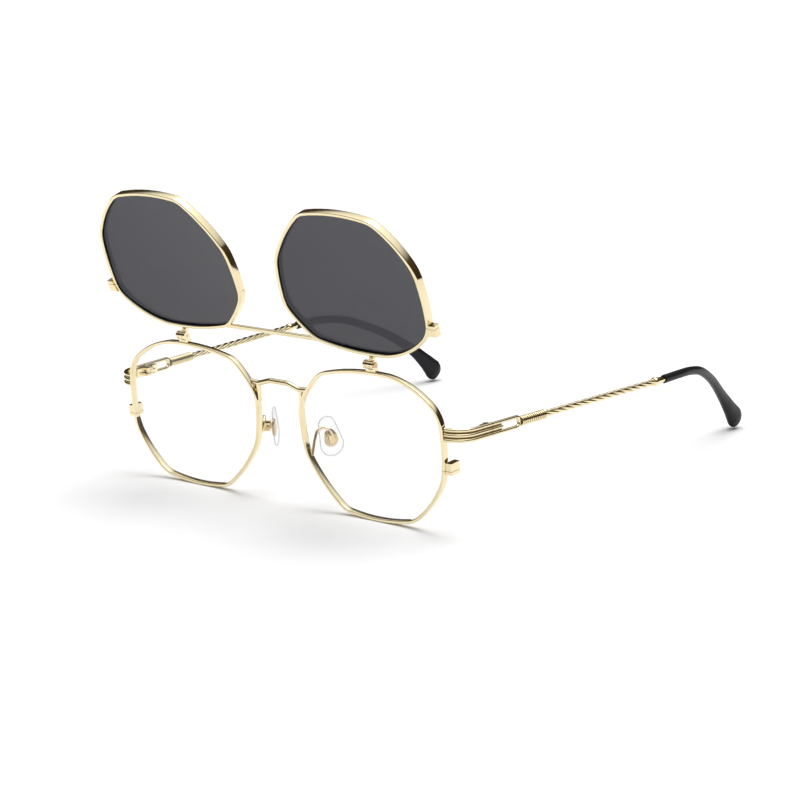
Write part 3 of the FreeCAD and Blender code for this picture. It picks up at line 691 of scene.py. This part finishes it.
def ring_tree():
    tree, given = new_tree("ring row", [("Rings", "Int"), ("Pitch", "Float"), ("Start", "Float"),
                                        ("Ring radius", "Float"), ("Half thickness", "Float"),
                                        ("Finish", "Material")])
    circle = node_in(tree, "CurvePrimitiveCircle", Radius=given["Ring radius"],
                     Resolution=RING_STEPS)
    section = node_in(tree, "CurvePrimitiveCircle", Radius=given["Half thickness"],
                      Resolution=RING_SIDES)
    ring = node_in(tree, "CurveToMesh", Curve=circle.outputs[0], Profile_Curve=section.outputs[0])
    first, step = (tree.nodes.new("ShaderNodeCombineXYZ") for _ in range(2))
    tree.links.new(given["Start"], first.inputs["Z"])
    tree.links.new(given["Pitch"], step.inputs["Z"])
    row = node_in(tree, "MeshLine", Count=given["Rings"], Start_Location=first.outputs[0],
                  Offset=step.outputs[0])
    rings = node_in(tree, "InstanceOnPoints", Points=row.outputs[0], Instance=ring.outputs[0])
    return close_tree(tree, rings.outputs[0], given["Finish"])


def seed():
    """Empty object for a tree that makes everything itself."""
    return bpy.data.objects.new("seed", bpy.data.meshes.new("seed"))


ferrule_start = LOOP_END - FERRULE_OVERLAP
ferrule_length = FERRULE_END - ferrule_start
pitch = ferrule_length / FERRULE_RINGS
half_ring = RING_SHARE * pitch / 2
ferrule = grown(ring_tree(), seed(), {
    "Rings": FERRULE_RINGS, "Pitch": pitch, "Start": (pitch - ferrule_length) / 2,
    "Ring radius": RING_RADIUS - half_ring, "Half thickness": half_ring, "Finish": gold})
ferrule_middle = shift(BAR_X, ferrule_start + ferrule_length / 2, 0)
add_pair("ferrule", ferrule, TEMPLE @ ferrule_middle @ ALONG_Y, "temple_{}", gold)
# The sleeve carries painted shade.
sleeve = turned([(0, ferrule_start), (SLEEVE_RADIUS, ferrule_start),
                 (SLEEVE_RADIUS, FERRULE_END), (0, FERRULE_END)])
add_pair("ferrule_sleeve", sleeve, TEMPLE @ shift(BAR_X, 0, 0), "temple_{}",
         painted_groove_shade, replaced=False)

# %% [markdown]
# The bar is four round strands wound about each other. One strand is a circle swept along a spiral,
# and the others are the same strand turned by a quarter each. The number of turns, which comes from
# the length of one full turn, is an input. The tree winds like a common screw, so the bar is
# mirrored to wind the other way.

# %% Twisted bars
TWIST_END = 73.5
TWIST_STRANDS = 4
TWIST_LEAD = 13.6
STRAND_RADIUS = 0.50
STRAND_OFFSET = 0.52
STRAND_STEPS = 48  # in each turn
STRAND_SIDES = 18


def twist_tree():
    tree, given = new_tree("twisted strands", [("Turns", "Float"), ("Length", "Float"),
                                               ("Offset", "Float"), ("Strand radius", "Float"),
                                               ("Finish", "Material")])
    spiral = node_in(tree, "CurveSpiral", Resolution=STRAND_STEPS, Rotations=given["Turns"],
                     Height=given["Length"], Start_Radius=given["Offset"],
                     End_Radius=given["Offset"])
    section = node_in(tree, "CurvePrimitiveCircle", Radius=given["Strand radius"],
                      Resolution=STRAND_SIDES)
    strand = node_in(tree, "CurveToMesh", Curve=spiral.outputs[0], Profile_Curve=section.outputs[0],
                     Fill_Caps=True)
    whole = tree.nodes.new("GeometryNodeJoinGeometry")
    for k in range(TWIST_STRANDS):
        share = math.tau * k / TWIST_STRANDS
        turned_strand = node_in(tree, "Transform", Geometry=strand.outputs[0],
                                Rotation=(0, 0, share))
        tree.links.new(turned_strand.outputs[0], whole.inputs[0])
    return close_tree(tree, whole.outputs[0], given["Finish"])


twist_length = TWIST_END - FERRULE_END
twisted = grown(twist_tree(), seed(), {
    "Turns": twist_length / TWIST_LEAD, "Length": twist_length, "Offset": STRAND_OFFSET,
    "Strand radius": STRAND_RADIUS, "Finish": gold})
twisted.transform(MIRROR)
twisted.flip_normals()
twist_place = TEMPLE @ shift(BAR_X, FERRULE_END, 0) @ ALONG_Y
add_pair("twisted_bar", twisted, twist_place, "temple_{}", gold)

# %% [markdown]
# A bead and a plain collar end the bar. They are turned in one piece, so one profile is spun: a
# half round for the bead, a neck, and a sleeve with a small bevel where the black tip begins.

# %% Beads and collars
BEAD_LENGTH = 1.7
BEAD_RADIUS = 1.4
COLLAR_RADIUS = 1.0
BEAD_STEPS = 12
BEVEL_LENGTH = 0.2
BEVEL_DEPTH = 0.1
TIP_START = 78.6
bead = [(0, TWIST_END)]
for k in range(BEAD_STEPS + 1):
    a = math.pi * k / BEAD_STEPS
    bead.append((COLLAR_RADIUS + (BEAD_RADIUS - COLLAR_RADIUS) * math.sin(a),
                 TWIST_END + BEAD_LENGTH * (1 - math.cos(a)) / 2))
bead += [(COLLAR_RADIUS, TIP_START - BEVEL_LENGTH), (COLLAR_RADIUS - BEVEL_DEPTH, TIP_START),
         (0, TIP_START)]
add_pair("bead_collar", turned(bead), TEMPLE, "temple_{}", gold)

# %% [markdown]
# The tip is a soft black sleeve that bends down and in behind the ear and swells towards its end.
# It is a row of ovals along a path, and the path and both sizes of the ovals run through a smooth
# curve, so eight sections are enough. Past the last one the ovals shrink along a quarter round,
# which makes the blunt end.

# %% Sections of the tips
# Sideways, along and up from the temple's start, then the height and thickness of the oval there.
TIP_SECTIONS = [
    (0.0, TIP_START, 0.0, 2.6, 2.4),
    (-0.6, 87.5, 0.0, 2.6, 2.4),
    (-2.0, 95.0, -0.6, 2.6, 2.4),
    (-4.2, 103.5, -2.6, 2.7, 2.5),
    (-9.0, 116.0, -8.3, 2.9, 2.6),
    (-12.9, 126.6, -15.3, 3.7, 2.8),
    (-14.6, 133.4, -21.0, 5.3, 3.5),
    (-15.3, 137.2, -24.65, 7.1, 4.0),
]
TIP_END = Vector((-15.6, 139.5, -26.7))
STATIONS_PER_SECTION = 8
END_STATIONS = 12
END_BLUNTNESS = 0.42  # 1 would be a half ball, and a smaller number is blunter


def smooth_between(rows, per_row):
    """Catmull-Rom rows between the given rows of numbers."""
    result = []
    last = len(rows) - 1
    for i in range(last):
        before, here, after, beyond = (rows[min(max(j, 0), last)] for j in range(i - 1, i + 3))
        for k in range(per_row):
            t = k / per_row
            row = []
            for a, b, c, d in zip(before, here, after, beyond):
                bend = (2 * a - 5 * b + 4 * c - d) * t * t + (3 * b - a - 3 * c + d) * t ** 3
                row.append(b + ((c - a) * t + bend) / 2)
            result.append(row)
    return result + [rows[last]]


def tip_rows():
    """Middle, height and thickness of every oval, with the blunt end at the last."""
    rows = smooth_between(TIP_SECTIONS, STATIONS_PER_SECTION)
    last, tall, thick = Vector(rows[-1][:3]), *rows[-1][3:]
    for k in range(1, END_STATIONS):
        a = math.pi / 2 * k / END_STATIONS
        shrink = math.cos(a) ** END_BLUNTNESS
        rows.append([*last.lerp(TIP_END, math.sin(a)), tall * shrink, thick * shrink])
    return rows


print("tip through", len(tip_rows()), "ovals")

# %% [markdown]
# A loft joins the ovals, each set square to the path, into one skin that is closed at both ends.
# The finish is a satin plastic with a faint tumbled texture.

# %% Black tips
OVAL_STEPS = 32


def lofted(rings):
    """Mesh through rings of equally many points, closed at both ends."""
    count = len(rings[0])
    faces = []
    for near in range(0, count * (len(rings) - 1), count):
        far = near + count
        for k in range(count):
            j = (k + 1) % count
            faces.append([near + k, near + j, far + j, far + k])
    faces.append(list(range(count))[::-1])
    faces.append(list(range(far, far + count)))
    return mesh_of([point for ring in rings for point in ring], faces)


def tip_mesh():
    rows = tip_rows()
    middles = [Vector(row[:3]) for row in rows]
    angles = [math.tau * k / OVAL_STEPS for k in range(OVAL_STEPS)]
    rings = []
    for i, row in enumerate(rows):
        along = (middles[min(i + 1, len(rows) - 1)] - middles[max(i - 1, 0)]).normalized()
        side = along.cross(Vector((0, 0, 1))).normalized()
        up = side.cross(along)
        tall, thick = row[3] / 2, row[4] / 2
        rings.append([middles[i] + up * (tall * math.cos(a)) + side * (thick * math.sin(a))
                      for a in angles])
    return lofted(rings)


satin = new_finish("satin_black", (0.005, 0.005, 0.007), (0.010, 0.010, 0.012), 0.34, 0.46,
                   mottle=(220, 4), grain=(3200, 2), relief=0.05, Specular_IOR_Level=0.2)
add_pair("temple_tip", tip_mesh(), TEMPLE, "temple_{}", satin)

# %% [markdown]
# The bridge is a wire with a level middle, a dip on each side and a rise into each rim, and a short
# foot soldered down each rim's nose side. A wire bent over pins is straight runs joined by arcs of
# one radius, so a helper rounds the corners of a path in that way. The wire stops in the rim's
# middle.

# %% Bridge
BRIDGE_POINTS = [(3.4, 34.9), (7.6, 33.6), (11.8, 33.9)]  # x and height of its bends and its end
BRIDGE_Y = 0.5
BRIDGE_RADIUS = 0.78
BRIDGE_BEND = 4.0
BRIDGE_FOOT_X = 8.0
BRIDGE_FOOT_RADIUS = 0.75
BRIDGE_TOE_Z = 28.8
BEND_STEPS = 10


def bent(corners, bend):
    """Path along the corners with each inner one rounded to an arc of one radius."""
    points = [corners[0]]
    for before, corner, after in zip(corners, corners[1:], corners[2:]):
        heading, leaving = (corner - before).normalized(), (after - corner).normalized()
        half = heading.angle(leaving) / 2
        start = corner - heading * bend * math.tan(half)
        inward = (leaving - heading).normalized()
        centre = corner + inward * bend / math.cos(half)
        axis = heading.cross(leaving).normalized()
        for k in range(BEND_STEPS + 1):
            turned_by = Matrix.Rotation(2 * half * k / BEND_STEPS, 3, axis)
            points.append(centre + turned_by @ (start - centre))
    return points + [corners[-1]]


def inside(point, outline):
    """Whether a point of the front lies inside a closed outline."""
    crossings = 0
    for a, b in zip(outline, outline[1:] + outline[:1]):
        if (a.y > point.z) != (b.y > point.z):
            crossings += point.x < a.x + (b.x - a.x) * (point.z - a.y) / (b.y - a.y)
    return crossings % 2 == 1


right_half = [Vector((x, BRIDGE_Y, z)) for x, z in BRIDGE_POINTS]
bridge_path = bent([Vector((0, BRIDGE_Y, BRIDGE_POINTS[0][1]))] + right_half, BRIDGE_BEND)
# The last run is divided, so that it can be cut off where it reaches the rim's middle.
rise_start, rise_end = bridge_path[-2:]
bridge_path[-1:] = [rise_start.lerp(rise_end, k / BEND_STEPS) for k in range(1, BEND_STEPS + 1)]
rim_middle = opening(RIM_WIDTH / 2)
bridge_path = [p for p in bridge_path if not inside(p, rim_middle)]
whole_bridge = [Vector((-p.x, p.y, p.z)) for p in bridge_path[:0:-1]] + bridge_path
bridge_pieces = [wire(whole_bridge, BRIDGE_RADIUS)]
for x in (BRIDGE_FOOT_X, -BRIDGE_FOOT_X):
    foot = [(x, BRIDGE_Y, BRIDGE_POINTS[1][1]), (x, BRIDGE_Y, BRIDGE_TOE_Z)]
    bridge_pieces += [wire(foot, BRIDGE_FOOT_RADIUS), ball(BRIDGE_FOOT_RADIUS, *foot[1])]
add_piece("bridge_look", joined(bridge_pieces), FRONT, "front", gold, "bridge")
print("bridge wire through", len(whole_bridge), "points")

# %% [markdown]
# Each nose pad hangs on a bent wire: up from the back of the rim, over and down to a small fork. It
# is bent in the same way as the bridge, over a smaller pin.

# %% Pad arms
PAD_ARM_RADIUS = 0.45
PAD_ARM_BEND = 1.2
# X, depth behind the front's middle, and height.
PAD_ARM_POINTS = [
    (10.6, 0.4, 14.6),
    (10.1, 2.3, 18.0),
    (10.1, 3.8, 20.8),
    (11.2, 5.3, 21.7),
    (13.0, 6.3, 20.9),
    (13.6, 6.9, 18.4),
]
arm = wire(bent([Vector(p) for p in PAD_ARM_POINTS], PAD_ARM_BEND), PAD_ARM_RADIUS)
add_pair("pad_arm", arm, FRONT, "front", gold)

# %% [markdown]
# The pad is a clear silicone drop moulded round a small metal plate. Its outline is the hull of two
# circles, and each layer of its thickness is that outline drawn in a little, which rounds the edges
# and crowns the faces. The plate is a smaller drop of the same kind.

# %% Drops for the nose pads
PAD_MIDDLE = (12.2, 7.7, 18.0)
PAD_FACE_ANGLE = math.radians(30)
PAD_LEAN = math.radians(11.4)
PAD = FRONT @ shift(*PAD_MIDDLE) @ turn("Z", math.pi - PAD_FACE_ANGLE) @ turn("X", -PAD_LEAN)
# Height and radius of the two circles of each outline, upper and lower.
PAD_CIRCLES = ((3.4, 2.7), (-2.7, 3.7))
PLATE_CIRCLES = ((0.4, 1.7), (-1.2, 2.1))
PAD_BACK = 1.2
PAD_THICKNESS = 1.9
PLATE_DEEP = 0.05
PLATE_THICKNESS = 0.9
EDGE_DRAW_IN = 1.3
EDGE_BLUNTNESS = 1.4  # a larger number is blunter
SMALLEST_RADIUS = 0.02
DROP_STEPS = 64
DROP_LAYERS = 16


def drop_outline(circles, draw_in):
    """Points of the hull of two circles, drawn in by an even amount."""
    upper, lower = circles
    tilt = (lower[1] - upper[1]) / (upper[0] - lower[0])
    points = []
    for k in range(DROP_STEPS):
        a = math.tau * k / DROP_STEPS
        height, radius = upper if math.sin(a) > tilt else lower
        radius = max(radius - draw_in, SMALLEST_RADIUS)
        points.append((radius * math.cos(a), height + radius * math.sin(a)))
    return points


def mark_edge_shade(mesh, edge_shade):
    """Keeps how near the edge each point lies, from 0 to 1, for the painted edge shade."""
    mesh.attributes.new("edge", "FLOAT", "POINT").data.foreach_set("value", edge_shade)


def drop_mesh(circles, back, thickness):
    """Soft edged drop: outlines drawn in by half an oval through the thickness."""
    rings, edge_shade = [], []
    for k in range(DROP_LAYERS + 1):
        a = math.pi * (k / DROP_LAYERS - 0.5)
        along = back + thickness / 2 + thickness / 2 * math.sin(a)
        draw_in = EDGE_DRAW_IN * (1 - math.cos(a)) ** EDGE_BLUNTNESS
        rings.append([(along, y, z) for y, z in drop_outline(circles, draw_in)])
        # Nearness to the edge, which later darkens the colour as painted edge shade.
        edge_shade += [max(0, 1 - draw_in / EDGE_DRAW_IN)] * DROP_STEPS
    mesh = lofted(rings)
    mark_edge_shade(mesh, edge_shade)
    return mesh


pad = drop_mesh(PAD_CIRCLES, PAD_BACK, PAD_THICKNESS)
insert = drop_mesh(PLATE_CIRCLES, PAD_BACK + PLATE_DEEP, PLATE_THICKNESS)
print("pad and plate,", len(pad.polygons), "faces each")

# %% [markdown]
# Clear silicone shows mostly at its edge, where one looks through more of it. The mesh keeps how
# near the edge each point lies, and the colour is darker there, which is painted edge shade. A
# thin lip round the edge is a wire of the same silicone, fully dark and with less of the background
# showing through, which paints a dark outline.

# %% Nose pads
LIP_RADIUS = 0.2


def pad_finish(name, alpha):
    material, nodes, links, shader = new_material(name)
    haze = noise(nodes, links, scale=320, detail=3)
    edge_shade_mask = nodes.new("ShaderNodeAttribute")
    edge_shade_mask.attribute_name = "edge"
    # Pale inside and grey near the edge: painted edge shade.
    tint = ramp(nodes, links, edge_shade_mask.outputs["Fac"], (0.98, 0.98, 0.97), (0.34, 0.34, 0.36),
                start=0.55, end=0.97)
    links.new(tint, shader.inputs["Base Color"])
    links.new(span(nodes, links, haze, 0.12, 0.24), shader.inputs["Roughness"])
    shader.inputs["Alpha"].default_value = alpha
    shader.inputs["IOR"].default_value = 1.41
    return material


silicone, lip_edge_shade = pad_finish("clear_silicone", 0.10), pad_finish("silicone_lip_edge_shade", 0.24)
add_pair("nose_pad", pad, PAD, "pad_{}", silicone)
lip_x = PAD_BACK + PAD_THICKNESS / 2
lip_path = [(lip_x, y, z) for y, z in drop_outline(PAD_CIRCLES, LIP_RADIUS)]
lip = wire(lip_path, LIP_RADIUS, closed=True)
# The whole lip takes the dark end of the colour, a painted dark outline.
mark_edge_shade(lip, [1.0] * len(lip.vertices))
add_pair("pad_lip", lip, PAD, "pad_{}", lip_edge_shade, replaced=False)
# The pad plate takes the duller gold as painted dark reflection.
add_pair("pad_plate", insert, PAD, "pad_{}", dull_gold_and_dark_reflection, replaced=False)

# %% [markdown]
# The stage is a plain pale floor. It is large, so that its far edge lies at the horizon, and its
# finish is as dull as drawing paper, with a faint unevenness.

# %% Floor
FLOOR_HALF = 8.0
corners = [(x * FLOOR_HALF, y * FLOOR_HALF, 0) for x, y in ((-1, -1), (1, -1), (1, 1), (-1, 1))]
floor_mesh = mesh_of(corners, [[0, 1, 2, 3]])
floor = bpy.data.objects.new("floor", floor_mesh)
bpy.context.scene.collection.objects.link(floor)
floor_finish, nodes, links, shader = new_material("pale_floor")
unevenness = noise(nodes, links, scale=40, detail=3)
paper_tint = ramp(nodes, links, unevenness, (0.90, 0.90, 0.90), (0.92, 0.92, 0.92))
links.new(paper_tint, shader.inputs["Base Color"])
shader.inputs["Roughness"].default_value = 0.85
shader.inputs["Specular IOR Level"].default_value = 0.1
floor_mesh.materials.append(floor_finish)
print("floor", 2 * FLOOR_HALF, "m wide")

# %% [markdown]
# A broad lamp overhead makes the soft shadow. It is a sun, so that the floor is lit evenly out to
# the horizon, and its wide angle blurs the shadow's edge as a large soft box would.

# %% Lamp
LAMP_STRENGTH = 1.5
LAMP_SPREAD = math.radians(42)
LAMP_FROM = Vector((0.05, 0.12, 1.0))  # direction from the part to the lamp
lamp_data = bpy.data.lights.new("overhead", "SUN")
lamp_data.energy = LAMP_STRENGTH
lamp_data.angle = LAMP_SPREAD
lamp = bpy.data.objects.new("overhead", lamp_data)
lamp.rotation_euler = LAMP_FROM.to_track_quat("Z", "Y").to_euler()
bpy.context.scene.collection.objects.link(lamp)
print("lamp", lamp_data.type, round(math.degrees(LAMP_SPREAD)), "degrees wide")

# %% [markdown]
# The surroundings are bright above and dark near the horizon, because polished metal only reads as
# metal when it has something dark to reflect. What the camera itself sees past the floor is plain
# and pale, as paper hung behind the table would be.

# %% Surroundings
# Colour of the surroundings by the height of the direction one looks in, from level to straight up.
SKY_STOPS = [
    (0.0, (0.035, 0.025, 0.012)),
    (0.53, (0.06, 0.045, 0.028)),
    (0.68, (0.90, 0.91, 0.93)),
    (1.0, (1.61, 1.62, 1.65)),
]
BACKDROP = (1.0, 1.0, 1.0)
world = bpy.data.worlds.new("studio")
bpy.context.scene.world = world
world.use_nodes = True
nodes, links = world.node_tree.nodes, world.node_tree.links
where = nodes.new("ShaderNodeTexCoord")
parts = nodes.new("ShaderNodeSeparateXYZ")
sky = nodes.new("ShaderNodeValToRGB")
links.new(where.outputs["Generated"], parts.inputs[0])
links.new(parts.outputs["Z"], sky.inputs["Fac"])
# A ramp has two stops to begin with. The rest are added anywhere, and then all are put in place.
for _ in SKY_STOPS[2:]:
    sky.color_ramp.elements.new(0.5)
for stop, (height, colour) in zip(sky.color_ramp.elements, SKY_STOPS):
    stop.position = height
    stop.color = (*colour, 1)
links.new(sky.outputs["Color"], nodes["Background"].inputs["Color"])
backdrop = nodes.new("ShaderNodeBackground")
backdrop.inputs["Color"].default_value = (*BACKDROP, 1)
ray = nodes.new("ShaderNodeLightPath")
either = nodes.new("ShaderNodeMixShader")
links.new(ray.outputs["Is Camera Ray"], either.inputs["Fac"])
links.new(nodes["Background"].outputs[0], either.inputs[1])
links.new(backdrop.outputs[0], either.inputs[2])
links.new(either.outputs[0], nodes["World Output"].inputs["Surface"])
print("surroundings in", len(SKY_STOPS), "steps and a pale backdrop")

# %% [markdown]
# The camera stands where the photograph was taken: to the right of the glasses and a little above
# them, with a long lens. Its place and directions were worked out from the outline of the rims.

# %% Camera
CAMERA_PLACE = Vector((0.433103, -0.556099, 0.184415))
CAMERA_RIGHT = Vector((0.78369, 0.62093, -0.01647)).normalized()
CAMERA_AHEAD = Vector((-0.60725, 0.76030, -0.23064)).normalized()
FOCAL_LENGTH = 105.33
SENSOR_WIDTH = 36.0
NEAREST = 0.01
camera_data = bpy.data.cameras.new("camera")
camera_data.lens = FOCAL_LENGTH
camera_data.sensor_width = SENSOR_WIDTH
camera_data.clip_start = NEAREST
camera = bpy.data.objects.new("camera", camera_data)
bpy.context.scene.collection.objects.link(camera)
camera_up = CAMERA_RIGHT.cross(CAMERA_AHEAD)
facing = Matrix((CAMERA_RIGHT, camera_up, -CAMERA_AHEAD)).transposed().to_4x4()
camera.matrix_world = Matrix.Translation(CAMERA_PLACE) @ facing
bpy.context.scene.camera = camera
bpy.context.scene.view_settings.view_transform = "Standard"
print("camera", [round(v, 3) for v in camera.location])
